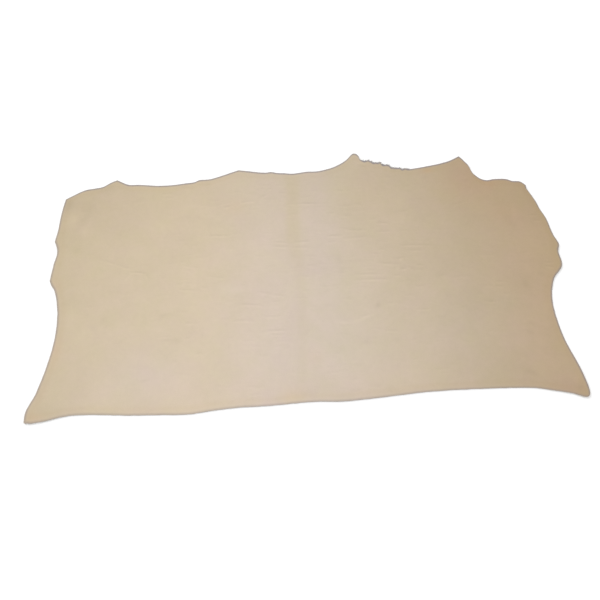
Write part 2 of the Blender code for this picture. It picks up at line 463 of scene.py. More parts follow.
draw = np.random.default_rng(FAINT_SEED)
all_wrinkles = [*WRINKLES, *faint_wrinkles(draw)]
bows = draw.normal(0, WRINKLE_BOW, len(all_wrinkles))


def trough(points, wrinkle, bow):
    """How deep one wrinkle is at each point, less than nothing on its lip."""
    along, off = lie(points, wrinkle.across, wrinkle.up, wrinkle.tilt)
    end = np.clip(1 - (2 * along / wrinkle.long) ** 2, 0, 1)
    off = off - bow * end
    furrow = np.exp(-((off / WRINKLE_HALF) ** 2))
    lip = LIP_SHARE * np.exp(-(((off + LIP_AWAY) / WRINKLE_HALF) ** 2))
    return wrinkle.depth * end**WRINKLE_TAPER * (furrow - lip)


def wrinkled(points):
    """The depth of all the wrinkles at each point, the faint ones too."""
    depth = np.zeros(len(points))
    for wrinkle, bow in zip(all_wrinkles, bows):
        near_across = abs(points[:, 0] - wrinkle.across) < wrinkle.long
        near_up = abs(points[:, 1] - wrinkle.up) < wrinkle.long
        near = np.flatnonzero(near_across & near_up)
        depth[near] += trough(points[near], wrinkle, bow)
    return depth


def read_up(table, points):
    """A table's value at each point's height up the hide."""
    return np.interp(points[:, 1], *zip(*table))


def slack(points):
    """How slack the hide is at each point, from 0 to 1."""
    off = (points[:, 0] - read_up(BACKBONE, points)) / read_up(SLACK_HALF, points)
    return np.exp(-(off**4)) * read_up(SLACKNESS, points)


def swell(points, row):
    """How high one swell stands at each point."""
    draw = np.random.default_rng(row.seed)
    total = np.zeros(len(points))
    for _ in range(SWELL_WAVES):
        turn, phase = draw.uniform(0, math.tau, 2)
        wave = math.tau / (row.pitch * draw.uniform(*WAVE_LONG))
        total += np.sin((points[:, 0] * math.cos(turn) + points[:, 1] * math.sin(turn)) * wave + phase)
    return row.height * total / SWELL_WAVES


def relief(points):
    """How far the grain side stands above an even sheet's."""
    gentle = sum(swell(points, row) for row in SWELLS)
    return gentle - wrinkled(points) - SLACK_DEPTH * slack(points)


# The grain side is a grid of quads, the flesh side a coarser one, and rings of points round the edge
# join them. A grid stays in from the edge by its inset.
Grid = namedtuple("Grid", "across up inset")
GRAIN_GRID = Grid(220, 330, 8.0)
FLESH_GRID = Grid(66, 66, 6.0)
# Drop is a share of the thickness. Rim is how far a ring takes the dark rim colour (fibres and painted
# shade), at an edge's darkest.
Ring = namedtuple("Ring", "what inset drop rim")
RIM = (
    Ring("where the grain starts to roll over", 3.0, 0.00, 0.95),
    Ring("shoulder of the roll", 1.0, 0.05, 0.9),
    Ring("grain corner", 0.3, 0.15, 1.0),
    Ring("top of the cut", 0.0, 0.32, 1.0),
    Ring("middle of the cut", 0.2, 0.66, 1.0),
    Ring("foot of the cut", 0.1, 0.93, 1.0),
    Ring("flesh corner", 0.6, 1.0, 1.0),
)
CUT_TOP, CUT_MIDDLE = 3, 4  # the first ring of the cut face, and the one that is rough with fibres
CUT_ROUGH = 0.18  # how far its fibres stand in and out
CUT_PITCH = 3.0
CUT_SEED = 31
GRAIN, CUT, FLESH = 0, 1, 2  # the materials' order
SHARP = 50  # degrees: edges that turn more than this stay sharp


def grid_shares(grid):
    """How far across and up a grid's points are, rows from the cut to the neck."""
    across = inset_share(np.linspace(0, 1, grid.across + 1), grid.inset, WIDE)
    up = inset_share(np.linspace(0, 1, grid.up + 1), grid.inset, HIGH)
    return np.stack(np.meshgrid(across, up), axis=-1).reshape(-1, 2)


def grid_numbers(grid, first):
    """The numbers of a grid's points in their rows, from this first one on."""
    return np.arange((grid.across + 1) * (grid.up + 1)).reshape(grid.up + 1, grid.across + 1) + first


def grid_faces(numbers):
    """A grid's quads, facing up."""
    corners = [numbers[:-1, :-1], numbers[:-1, 1:], numbers[1:, 1:], numbers[1:, :-1]]
    return np.stack(corners, axis=-1).reshape(-1, 4)


def stitches(grid, numbers, ring_first):
    """For each step of a grid's border, its two points and the ring's points beside it, clockwise."""
    border = np.concatenate([numbers[:-1, 0], numbers[-1, :-1], numbers[:0:-1, -1], numbers[0, :0:-1]])
    steps = [EDGE_UP // grid.up] * grid.up + [EDGE_ACROSS // grid.across] * grid.across
    found = []
    at = 0
    for k, step in enumerate(steps * 2):
        beside = [ring_first + (at + i) % len(outline) for i in range(step + 1)]
        found.append(([border[k], border[(k + 1) % len(border)]], beside))
        at += step
    return found


# All the points in layers, from the grain side down. Inside is how far in from the edge they are.
Layer = namedtuple("Layer", "plan height inside rim")


def grain_height(points):
    """How high the grain side is."""
    return THICK + lift(points) + relief(points)


def grid_layer(grid, height):
    """A grid's points, at the heights that a function finds for them."""
    shares = grid_shares(grid)
    plan = on_hide(*shares.T)
    inside = (np.minimum(shares, 1 - shares) * (WIDE, HIGH)).min(axis=1)
    return Layer(plan, height(plan), inside, np.zeros(len(plan)))


fibre = uneven(walked, CUT_PITCH, CUT_SEED)
layers = [grid_layer(GRAIN_GRID, grain_height)]
for i, row in enumerate(RIM):
    follow = 1 - row.inset / GRAIN_GRID.inset
    rough = CUT_ROUGH * fibre if i == CUT_MIDDLE else 0
    plan = ring(row.inset) + outward * (stray * follow + rough)[:, None]
    height = THICK * (1 - row.drop) + lift(plan)
    if i < CUT_TOP:
        height += relief(plan)
    layers.append(Layer(plan, height, np.full(len(plan), row.inset), row.rim * rim_darkness))
layers.append(grid_layer(FLESH_GRID, lift))
hide_plan, hide_height, hide_inside, hide_rim = (np.concatenate(column) for column in zip(*layers))
hide_points = np.column_stack([hide_plan, hide_height]) * MM

ring_size = len(outline)
ring_firsts = [len(layers[0].plan) + i * ring_size for i in range(len(RIM))]
flesh_first = ring_firsts[-1] + ring_size
grain_numbers = grid_numbers(GRAIN_GRID, 0)
flesh_numbers = grid_numbers(FLESH_GRID, flesh_first)

# The faces: the grain side and its border, the rim from ring to ring, then the flesh side's border and
# the flesh side.
faces = grid_faces(grain_numbers).tolist()
for pair, beside in stitches(GRAIN_GRID, grain_numbers, ring_firsts[0]):
    faces.append([*beside[::-1], *pair])
finishes = [GRAIN] * len(faces)
here = np.arange(ring_size)
ahead = (here + 1) % ring_size
for i, (inner, outer) in enumerate(zip(ring_firsts, ring_firsts[1:])):
    faces += np.stack([outer + ahead, outer + here, inner + here, inner + ahead], axis=1).tolist()
    finishes += [GRAIN if i < CUT_TOP else CUT] * ring_size
for pair, beside in stitches(FLESH_GRID, flesh_numbers, ring_firsts[-1]):
    faces.append([*pair[::-1], *beside])
faces += grid_faces(flesh_numbers)[:, ::-1].tolist()
finishes += [FLESH] * (len(faces) - len(finishes))

mesh = bpy.data.meshes.new("leather_hide")
mesh.from_pydata(hide_points.tolist(), [], faces)
mesh.polygons.foreach_set("material_index", finishes)
mesh.shade_smooth()
mesh.set_sharp_from_angle(angle=math.radians(SHARP))
hide = bpy.data.objects.new("leather_hide", mesh)
bpy.context.scene.collection.objects.link(hide)

# A flat map of the hide: the grain side with the cut edge folded out round it, and a smaller flesh side
# above.
MAP_WIDE = 1640.0  # what fills the map from side to side
GRAIN_ON_MAP = (0.5, 0.29)  # where the middle of the grain side is
FLESH_ON_MAP = (0.5, 0.79)
FLESH_SCALE = 0.74  # the size of the flesh side, against the grain side
spread_plan = hide_plan.copy()
for ring_first, row in zip(ring_firsts, RIM):
    spread_plan[ring_first:ring_first + ring_size] += outward * THICK * row.drop
grain_map = spread_plan / MAP_WIDE + GRAIN_ON_MAP
flesh_map = hide_plan / MAP_WIDE * FLESH_SCALE + FLESH_ON_MAP
corner_points = np.empty(len(mesh.loops), int)
mesh.loops.foreach_get("vertex_index", corner_points)
corner_finishes = np.repeat(finishes, [len(face) for face in faces])[:, None]
hide_map = np.where(corner_finishes == FLESH, flesh_map[corner_points], grain_map[corner_points])
mesh.uv_layers.new(name="OFBake").data.foreach_set("uv", hide_map.ravel())

# Natural leather takes the tan unevenly: pale and a little yellow at the left flank, palest and pinkish
# beside the backbone, and browner all the way to the right flank. Part of the darkening towards the
# right is painted shade, where the light falls off.
Shade = namedtuple("Shade", "across colour")
SHADES = (
    Shade(-800, "bcac92"),
    Shade(-600, "c3b39b"),
    Shade(-300, "c8b8a2"),
    Shade(-100, "c9baab"),
    Shade(100, "c5b7a6"),
    Shade(300, "bfaf9a"),
    Shade(500, "b4a38b"),
    Shade(700, "b19b81"),
    Shade(800, "ac9778"),
)
# Clouds and stains in the grain, and a few rows of painted shade. Wide and high are how far one fades
# out, and shade darkens (under 1) or lightens.
StainAndShade = namedtuple("StainAndShade", "what across up wide high tilt shade")
STAINS_AND_SHADE = (
    # The first two rows are partly painted shade: they darken the neck and the right shoulder, where the
    # light falls off, on top of their own darker colour.
    StainAndShade("neck", 0, 420, 900, 150, 0, 0.96),
    StainAndShade("right shoulder", 720, 300, 160, 150, 0, 0.93),
    StainAndShade("left shoulder corner", -728, 303, 22, 28, 0, 0.90),
    StainAndShade("beside the left corner", -706, 248, 18, 30, 0, 1.05),
    StainAndShade("streak at the left shoulder", -670, 246, 14, 62, -25, 0.965),
    StainAndShade("pale patch at the left shoulder", -667, 205, 16, 26, -20, 1.035),
    StainAndShade("blob above the spurs", -685, 134, 14, 14, 0, 0.96),
    StainAndShade("pale foreleg hollow", -702, -114, 22, 40, 0, 1.035),
    StainAndShade("pale patch over the flank", -655, -167, 22, 16, 20, 1.025),
    StainAndShade("dark spot at the flank", -598, -117, 8, 16, 0, 0.955),
    StainAndShade("small dark spot at the flank", -630, -142, 8, 12, 0, 0.96),
    StainAndShade("upright smear", -473, -128, 8, 26, 0, 0.975),
    StainAndShade("short slanting mark", -420, -118, 22, 6, 20, 0.955),
    StainAndShade("blotch", -378, -204, 12, 10, 0, 0.945),
    StainAndShade("tail of the blotch", -404, -200, 16, 5, 0, 0.96),
    StainAndShade("crooked mark", -303, -190, 6, 20, 4, 0.965),
    StainAndShade("small mark", -172, -21, 8, 6, 0, 0.96),
    StainAndShade("low mark", -473, -328, 12, 6, 0, 0.96),
    StainAndShade("dark spot", 224, -119, 8, 9, 0, 0.90),
    StainAndShade("faint upright blotch", 121, 51, 8, 18, 0, 0.965),
    StainAndShade("lower end of the blotch", 125, 9, 10, 10, 0, 0.965),
    StainAndShade("outer peak", -600, 366, 34, 24, 0, 0.935),
    StainAndShade("under the outer peak", -591, 306, 30, 26, 0, 0.97),
    StainAndShade("left flank point", -740, -410, 50, 26, 0, 0.945),
    StainAndShade("right flank point", 788, -444, 22, 20, 0, 0.97),
    StainAndShade("smudge left of the neck", -330, 232, 44, 22, 0, 0.96),
    StainAndShade("lower smudge left of the neck", -270, 206, 28, 16, 0, 0.972),
    StainAndShade("smudge by the long wrinkles", 310, 220, 34, 18, 0, 0.972),
    StainAndShade("right flank by the cut", 730, -408, 42, 24, 0, 0.975),
    StainAndShade("pale place right of the middle", 458, -170, 36, 28, 0, 1.026),
    StainAndShade("spot", 177, -241, 12, 7, 0, 0.955),
    StainAndShade("second spot", 269, -237, 12, 6, 0, 0.96),
    StainAndShade("spot right of the middle", 439, -97, 8, 10, 0, 0.965),
    StainAndShade("mark right of the middle", 424, -25, 14, 7, 0, 0.96),
    StainAndShade("slanting mark at the right", 668, 162, 12, 34, 28, 0.965),
    StainAndShade("pale place at the right", 692, 196, 12, 20, 0, 1.03),
    StainAndShade("blob at the right", 681, -70, 10, 26, 10, 0.95),
    StainAndShade("spot under the lobes", 734, -37, 9, 8, 0, 0.95),
    StainAndShade("upper of a pair", 672, -208, 12, 8, 0, 0.96),
    StainAndShade("lower of a pair", 667, -238, 12, 8, 0, 0.96),
    StainAndShade("pale cloud at the right", 634, -273, 20, 22, 0, 1.025),
    StainAndShade("slanting mark over the flank", 645, -368, 26, 9, -30, 0.955),
    StainAndShade("spot by the flank point", 775, -424, 8, 7, 0, 0.93),
    StainAndShade("pale place by the flank point", 770, -395, 14, 16, 0, 1.04),
    StainAndShade("brown place at the cut", -6, -395, 24, 12, 0, 0.965),
    # Painted shade: the dull stripe stands for the shaded side of a low ridge down the backbone.
    StainAndShade("dull stripe down the backbone", -7, -158, 230, 16, 86.5, 0.983),
    StainAndShade("pale under the high peak", 226, 413, 20, 7, -12, 1.035),
    StainAndShade("crack at the right shoulder corner", 739, 283, 10, 2.5, 66, 0.92),
    StainAndShade("scar, near end", 117, -172, 26, 3.5, -7, 1.05),
    StainAndShade("scar, middle", 162, -167, 14, 3.5, 10, 1.04),
    StainAndShade("scar, far end", 190, -156, 24, 3.5, 18, 1.05),
)
# Slow drifts of colour: how much more red, green and blue there is at the middle of each, in per cent.
Cloud = namedtuple("Cloud", "what across up wide high red green blue")
CLOUDS = (
    Cloud("dull left shoulder", -660, 290, 170, 130, -4.0, -4.5, -4.0),
    Cloud("pink patch over the bow", -470, -310, 110, 80, 0.0, 0.0, 9.0),
    Cloud("pale middle left", -330, -120, 200, 160, 1.5, 1.5, 1.5),
    Cloud("pink beside the backbone", 65, 130, 55, 260, 0.5, 0.0, 5.0),
    Cloud("yellow right of the pink", 215, 290, 90, 130, -1.5, -2.5, -6.0),
    Cloud("brown over the cut", 60, -400, 330, 75, -2.0, -4.0, -5.0),
    Cloud("warm right peak", 560, 330, 110, 110, 2.0, -4.0, -7.0),
    Cloud("pale right shoulder", 690, 290, 60, 60, 3.0, 4.0, 2.0),
    Cloud("pale right flank", 480, -190, 160, 130, 0.5, 1.5, 4.0),
    Cloud("brown right flank", 680, -370, 110, 90, -3.5, -3.0, -5.0),
    Cloud("pink right flank point", 755, -420, 50, 36, -3.0, -6.0, -2.0),
    Cloud("warm left flank point", -785, -427, 32, 22, -0.5, -5.0, -7.5),
    Cloud("dull left flank", -776, -356, 26, 40, -2.0, -4.5, -2.5),
    Cloud("reddish foreleg hollow", -737, -215, 22, 50, 4.0, -1.0, 0.0),
    Cloud("pale lower spur", -748, 8, 22, 30, 4.5, 1.5, 4.0),
    Cloud("pale place left of the middle", -218, -38, 40, 22, 3.5, 4.0, 7.0),
    Cloud("pale place over the bow", -459, -261, 40, 22, 2.5, 3.5, 0.0),
    Cloud("yellow place left of the neck", -190, 266, 34, 30, -0.5, -2.0, -6.0),
    Cloud("reddish place at the right cheek", 434, 373, 18, 10, 4.0, -2.0, -8.0),
    Cloud("reddish dip by the right shoulder", 628, 312, 26, 26, 4.5, 1.0, 0.0),
    Cloud("pale place under the right shoulder", 655, 190, 50, 45, 3.5, 2.0, -1.0),
    Cloud("pink right foreleg", 776, -346, 26, 40, 0.5, 0.5, 6.0),
    Cloud("pale neck edge at the backbone", 12, 384, 46, 14, 3.5, 3.0, 4.5),
    Cloud("dull place at the right", 612, -130, 36, 30, -3.0, 0.0, -3.0),
    Cloud("yellow place over the cut", 23, -281, 26, 28, -1.5, -3.5, -5.0),
    Cloud("brown place beside the backbone", -48, -404, 34, 26, 0.0, -2.0, -10.0),
)
# The neck's tint is partly the hide's own colour and partly painted shade, evening out the lamp, which
# lights the neck's end more.
NECK_TINT = "f4f2ea"  # the neck's end, darker and yellower than the butt
NECK_TINT_UP = (-400, 380)  # where it sets in, and where it is full
EDGE_TINT = "fdfcf9"  # of a yellower band inside the edge all round
EDGE_BAND = 18.0  # how far in its middle runs
EDGE_FADE = 10.0
BACKBONE_TINT = "fbfbf2"  # of the slack band, browner than the rest
# Painted shade in the wrinkles' troughs and painted highlight on their lips, as a share of the colour.
TROUGH_PAINTED_SHADE = 0.90  # for a trough a full millimetre deep


def linear(hex_colour):
    """An sRGB hex colour as linear red, green and blue."""
    parts = [int(hex_colour[i:i + 2], 16) / 255 for i in (0, 2, 4)]
    return [part / 12.92 if part <= 0.04045 else ((part + 0.055) / 1.055) ** 2.4 for part in parts]


def tint(hex_colour, amount):
    """What each point's tone is multiplied by, to tint it by an amount from 0 to 1."""
    return 1 + (np.array(linear(hex_colour)) - 1) * amount[:, None]


def spread(row, tilt=0):
    """How strong a row of clouds, stains or painted shade is at each point of the hide, from 0 to 1."""
    along, off = lie(hide_plan, row.across, row.up, tilt)
    return np.exp(-((along / row.wide) ** 2) - (off / row.high) ** 2)[:, None]


shades = np.array([linear(shade.colour) for shade in SHADES])
shades_across = [shade.across for shade in SHADES]
tone = np.stack([np.interp(hide_plan[:, 0], shades_across, shades[:, k]) for k in range(3)], axis=1)
tone *= tint(NECK_TINT, np.interp(hide_plan[:, 1], NECK_TINT_UP, (0, 1)))
tone *= tint(EDGE_TINT, np.exp(-(((hide_inside - EDGE_BAND) / EDGE_FADE) ** 2)))
for cloud in CLOUDS:
    tone *= 1 + np.array((cloud.red, cloud.green, cloud.blue)) / 100 * spread(cloud)
for stain_and_shade in STAINS_AND_SHADE:
    tone *= 1 + (stain_and_shade.shade - 1) * spread(stain_and_shade, stain_and_shade.tilt)
tone *= tint(BACKBONE_TINT, slack(hide_plan))
# Painted shade in the troughs of the wrinkles, and painted highlight on their lips.
tone *= 1 + (TROUGH_PAINTED_SHADE - 1) * wrinkled(hide_plan)[:, None]
tone_map = mesh.color_attributes.new("tone", "FLOAT_COLOR", "POINT")
tone_map.data.foreach_set("color", np.column_stack([tone, np.ones(len(tone))]).ravel())
rim_map = mesh.attributes.new("rim", "FLOAT", "POINT")
rim_map.data.foreach_set("value", hide_rim)


def join(tree, node, sockets):
    """Gives each of these sockets of a node a value, or another node's output."""
    for name, value in sockets.items():
        if isinstance(value, bpy.types.NodeSocket):
            tree.links.new(value, node.inputs[name])
        else:
            node.inputs[name].default_value = value


def add(tree, kind, sockets=None, **settings):
    """One more node in a tree, with its settings and with what its sockets are given."""
    node = tree.nodes.new(kind)
    for name, value in settings.items():
        setattr(node, name, value)
    join(tree, node, sockets or {})
    return node


def new_material(name):
    """An empty material: its node tree, and the shader, joined to the output."""
    material = bpy.data.materials.new(name)
    material.use_nodes = True
    tree = material.node_tree
    tree.nodes.clear()
    shader = add(tree, "ShaderNodeBsdfPrincipled")
    add(tree, "ShaderNodeOutputMaterial", {"Surface": shader.outputs["BSDF"]})
    return material, tree, shader


def per_metre(size):
    """The scale of a pattern whose features are this many millimetres across."""
    return 1 / (size * MM)


MIX_AMOUNT, MIX_FIRST, MIX_SECOND, MIXED = 0, 6, 7, 2  # the Mix node's sockets when it mixes colours
NOISE_SPAN = {"From Min": 0.3, "From Max": 0.7}  # what a noise mostly lies between


def clouds(tree, where, size, low, high, detail=3, roughness=0.5):
    """A number that drifts from low to high and back, in clouds this many millimetres across."""
    pattern = {"Vector": where, "Scale": per_metre(size), "Detail": detail, "Roughness": roughness}
    noise = add(tree, "ShaderNodeTexNoise", pattern).outputs["Fac"]
    drift = {"Value": noise, **NOISE_SPAN, "To Min": low, "To Max": high}
    return add(tree, "ShaderNodeMapRange", drift).outputs["Result"]


def shaded(tree, colour, *amounts):
    """A colour made darker or lighter by each of these amounts in turn."""
    for amount in amounts:
        pair = {MIX_AMOUNT: 1.0, MIX_FIRST: colour, MIX_SECOND: amount}
        colour = add(tree, "ShaderNodeMix", pair, data_type="RGBA", blend_type="MULTIPLY").outputs[MIXED]
    return colour


# Grain side: full-grain vegetable-tanned cattle leather, undyed, plated smooth but not glazed. It has a
# low waxy sheen, soft clouds where the bark liquor took unevenly, and pores.
PINKISH = (1.010, 0.995, 1.036, 1)  # what the clouds tint the grain by, linear
YELLOWISH = (0.990, 1.005, 0.964, 1)
RIM_COLOUR = "7a747b"  # the opened fibres' colour, with painted shade along the edge
PEBBLE = 1.8  # hair pores are 0.3 mm apart, too fine to show, so the grain's pebble is drawn coarser
CREASE_APART, CREASE_LONG = 3.5, 35.0  # of the hairline creases, which lie as the wrinkles do


def tanned_grain():
    """The grain side's finish."""
    material, tree, shader = new_material("vegetable_tanned_grain")
    where = add(tree, "ShaderNodeTexCoord").outputs["Object"]
    tone = add(tree, "ShaderNodeAttribute", attribute_name="tone").outputs["Color"]
    broad = clouds(tree, where, size=140, low=0.975, high=1.025, detail=4, roughness=0.55)
    small = clouds(tree, where, size=16, low=0.985, high=1.015, detail=4, roughness=0.6)
    yellowed = clouds(tree, where, size=100, low=0, high=1, detail=4, roughness=0.65)
    hue = add(tree, "ShaderNodeMix", {
        MIX_AMOUNT: yellowed, MIX_FIRST: PINKISH, MIX_SECOND: YELLOWISH,
    }, data_type="RGBA").outputs[MIXED]
    clean = shaded(tree, tone, broad, small, hue)

    # The dark rim along the edge: partly the opened fibres' colour, partly painted shade.
    rim = add(tree, "ShaderNodeAttribute", attribute_name="rim").outputs["Fac"]
    uneven_rim = clouds(tree, where, size=7, low=0.65, high=1.05, detail=3, roughness=0.6)
    rim_darkening = add(tree, "ShaderNodeMath", {0: rim, 1: uneven_rim}, operation="MULTIPLY").outputs["Value"]
    colour = add(tree, "ShaderNodeMix", {
        MIX_AMOUNT: rim_darkening, MIX_FIRST: clean, MIX_SECOND: (*linear(RIM_COLOUR), 1),
    }, data_type="RGBA").outputs[MIXED]

    pebble = add(tree, "ShaderNodeTexVoronoi", {
        "Vector": where, "Scale": per_metre(PEBBLE), "Smoothness": 0.5,
    }, feature="SMOOTH_F1").outputs["Distance"]
    # Painted shade: the pebble's recessed borders are drawn a little darker, its middles a little
    # lighter.
    pebble_shade = add(tree, "ShaderNodeMapRange", {
        "Value": pebble, "From Min": 0.2, "From Max": 0.75, "To Min": 1.024, "To Max": 0.977,
    }).outputs["Result"]
    pebbled = add(tree, "ShaderNodeBump", {
        "Height": pebble, "Strength": 0.5, "Distance": 0.4 * MM,
    }, invert=True).outputs["Normal"]
    stretched = add(tree, "ShaderNodeMapping", {
        "Vector": where,
        "Rotation": (0, 0, math.radians(-GROWTH_TILT)),
        "Scale": (CREASE_APART / CREASE_LONG, 1, 1),
    }).outputs["Vector"]
    creases = add(tree, "ShaderNodeTexNoise", {
        "Vector": stretched, "Scale": per_metre(CREASE_APART), "Detail": 2, "Roughness": 0.4,
    }).outputs["Fac"]
    creased = add(tree, "ShaderNodeBump", {
        "Height": creases, "Strength": 0.3, "Distance": 0.4 * MM, "Normal": pebbled,
    }).outputs["Normal"]
    join(tree, shader, {
        "Base Color": shaded(tree, colour, pebble_shade),
        "Roughness": clouds(tree, where, size=45, low=0.52, high=0.64, detail=4),
        "Specular IOR Level": 0.35,
        "Normal": creased,
    })
    return material


# Bare fibres. Pitch, height and size are in millimetres, and dark and light multiply the colour.
Nap = namedtuple("Nap", "pitch detail roughness dark light strength height")
Patches = namedtuple("Patches", "size detail dark light")


def bare_fibres(name, hex_colour, nap, patches, finish):
    """The finish of bare fibres: a nap of tufts, raised and shaded, and wider patches of shade."""
    material, tree, shader = new_material(name)
    where = add(tree, "ShaderNodeTexCoord").outputs["Object"]
    tufts = add(tree, "ShaderNodeTexNoise", {
        "Vector": where, "Scale": per_metre(nap.pitch), "Detail": nap.detail, "Roughness": nap.roughness,
    }).outputs["Fac"]
    tuft_shade = add(tree, "ShaderNodeMapRange", {
        "Value": tufts, **NOISE_SPAN, "To Min": nap.dark, "To Max": nap.light,
    }).outputs["Result"]
    patch_shade = clouds(tree, where, patches.size, patches.dark, patches.light, patches.detail)
    raised = add(tree, "ShaderNodeBump", {
        "Height": tufts, "Strength": nap.strength, "Distance": nap.height * MM,
    }).outputs["Normal"]
    colour = shaded(tree, (*linear(hex_colour), 1), tuft_shade, patch_shade)
    join(tree, shader, {"Base Color": colour, "Normal": raised, **finish})
    return material


grain_leather = tanned_grain()
# Cut edge: the corium, a felt of fibres with no shine, darker than the grain.
cut_leather = bare_fibres(
    "cut_leather_edge", "b2aba4",
    Nap(pitch=2.0, detail=4, roughness=0.65, dark=0.8, light=1.15, strength=0.6, height=0.6),
    Patches(size=30, detail=3, dark=0.9, light=1.08),
    {"Roughness": 0.92, "Specular IOR Level": 0.15},
)
# Flesh side: shaved with a blade, so it has a short suede nap, paler than the cut.
flesh_leather = bare_fibres(
    "shaved_flesh_side", "cbb291",
    Nap(pitch=3.0, detail=5, roughness=0.7, dark=0.9, light=1.08, strength=0.5, height=0.8),
    Patches(size=120, detail=4, dark=0.94, light=1.05),
    {"Roughness": 0.95, "Specular IOR Level": 0.1, "Sheen Weight": 0.25, "Sheen Roughness": 0.6},
)
for material in (grain_leather, cut_leather, flesh_leather):
    mesh.materials.append(material)

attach(hide, "root")
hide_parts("hide")

# ---------------------------------------------------------------------------------------------------
# Loose fibres. Where leather is torn or cut, the ends of its collagen fibres stand out of the edge like
# felt: long ones on the torn stretch, and a short fuzz on the cut face all round. Each is a bent hair
# that tapers to its tip.

# Least torn is how torn the edge has to be for a fibre to grow there. Lengths are in millimetres.
Fibres = namedtuple("Fibres", "name count shortest longest seed least_torn")
LOOSE = (
    Fibres("torn_edge_fibres", 700, 1.5, 6.5, 41, 0.3),
    Fibres("cut_edge_fuzz", 2600, 0.8, 2.2, 42, 0.0),
)
# The line of a fibre one unit long.
FIBRE_SPINE = {"Start": (0, 0, 0), "Middle": (0.55, 0.16, 0.08), "End": (1, -0.06, 0.02)}
FIBRE_RADIUS = 0.035  # at its root, as a share of its length
FIBRE_TIP = 0.25  # the radius of its tip, as a share of the root's
FIBRE_TURNS = ((-3.1, -0.35, -0.9), (3.1, 0.0, 0.9))  # radians: rolled any way, raised, swung sideways
FIBRE_ROOT = 0.4  # how far inside the edge it starts
FIBRE_BAND = (-0.3, 1.3)  # the lowest and the highest root, above the middle of the cut

# The Random Value node's sockets, for a vector and for a number.
VECTOR_LEAST, VECTOR_MOST, RANDOM_VECTOR = 0, 1, 0
NUMBER_LEAST, NUMBER_MOST, RANDOM_NUMBER = 2, 3, 1


def fibre_tree():
    """Bent fibres, each of its own length and lie, at even steps along a path round the edge."""
    tree = bpy.data.node_groups.new("loose_fibres", "GeometryNodeTree")
    inputs = {
        "Path": "Geometry", "Count": "Int", "Shortest": "Float", "Longest": "Float", "Seed": "Int",
        "Fibre": "Material",
    }
    for name, kind in inputs.items():
        tree.interface.new_socket(name, in_out="INPUT", socket_type="NodeSocket" + kind)
    tree.interface.new_socket("Fibres", in_out="OUTPUT", socket_type="NodeSocketGeometry")
    asked = add(tree, "NodeGroupInput").outputs

    spine = add(tree, "GeometryNodeCurveQuadraticBezier", {
        "Resolution": 4, **FIBRE_SPINE,
    }).outputs["Curve"]
    section = add(tree, "GeometryNodeCurvePrimitiveCircle", {
        "Resolution": 3, "Radius": FIBRE_RADIUS,
    }).outputs["Curve"]
    along = add(tree, "GeometryNodeSplineParameter").outputs["Factor"]
    taper = add(tree, "ShaderNodeMapRange", {
        "Value": along, "To Min": 1.0, "To Max": FIBRE_TIP,
    }).outputs["Result"]
    fibre = add(tree, "GeometryNodeCurveToMesh", {
        "Curve": spine, "Profile Curve": section, "Scale": taper, "Fill Caps": True,
    }).outputs["Mesh"]

    path = add(tree, "GeometryNodeMeshToCurve", {"Mesh": asked["Path"]}).outputs["Curve"]
    roots = add(tree, "GeometryNodeCurveToPoints", {
        "Curve": path, "Count": asked["Count"],
    }, mode="COUNT").outputs["Points"]
    level = add(tree, "FunctionNodeRandomValue", {
        VECTOR_LEAST: (0, 0, FIBRE_BAND[0] * MM), VECTOR_MOST: (0, 0, FIBRE_BAND[1] * MM),
        "Seed": asked["Seed"],
    }, data_type="FLOAT_VECTOR").outputs[RANDOM_VECTOR]
    placed = add(tree, "GeometryNodeSetPosition", {
        "Geometry": roots, "Offset": level,
    }).outputs["Geometry"]

    out = add(tree, "GeometryNodeInputNamedAttribute", {
        "Name": "outward",
    }, data_type="FLOAT_VECTOR").outputs["Attribute"]
    straight = add(tree, "FunctionNodeAlignRotationToVector", {
        "Vector": out,
    }, axis="X").outputs["Rotation"]
    turns = add(tree, "FunctionNodeRandomValue", {
        VECTOR_LEAST: FIBRE_TURNS[0], VECTOR_MOST: FIBRE_TURNS[1], "Seed": asked["Seed"],
    }, data_type="FLOAT_VECTOR").outputs[RANDOM_VECTOR]
    turned = add(tree, "FunctionNodeEulerToRotation", {"Euler": turns}).outputs["Rotation"]
    own_lie = add(tree, "FunctionNodeRotateRotation", {
        "Rotation": straight, "Rotate By": turned,
    }, rotation_space="LOCAL").outputs["Rotation"]
    long = add(tree, "FunctionNodeRandomValue", {
        NUMBER_LEAST: asked["Shortest"], NUMBER_MOST: asked["Longest"], "Seed": asked["Seed"],
    }, data_type="FLOAT").outputs[RANDOM_NUMBER]

    grown = add(tree, "GeometryNodeInstanceOnPoints", {
        "Points": placed, "Instance": fibre, "Rotation": own_lie, "Scale": long,
    }).outputs["Instances"]
    solid = add(tree, "GeometryNodeRealizeInstances", {"Geometry": grown}).outputs["Geometry"]
    finished = add(tree, "GeometryNodeSetMaterial", {
        "Geometry": solid, "Material": asked["Fibre"],
    }).outputs["Geometry"]
    add(tree, "NodeGroupOutput", {"Fibres": finished})
    return tree


def collagen_fibres():
    """Loose fibres: undyed collagen, matt and dark grey."""
    material, tree, shader = new_material("loose_collagen_fibres")
    where = add(tree, "ShaderNodeTexCoord").outputs["Object"]
    patch_shade = clouds(tree, where, size=6, low=0.85, high=1.15, detail=2)
    colour = shaded(tree, (*linear("8e8475"), 1), patch_shade)
    join(tree, shader, {"Base Color": colour, "Roughness": 0.95, "Specular IOR Level": 0.1})
    return material


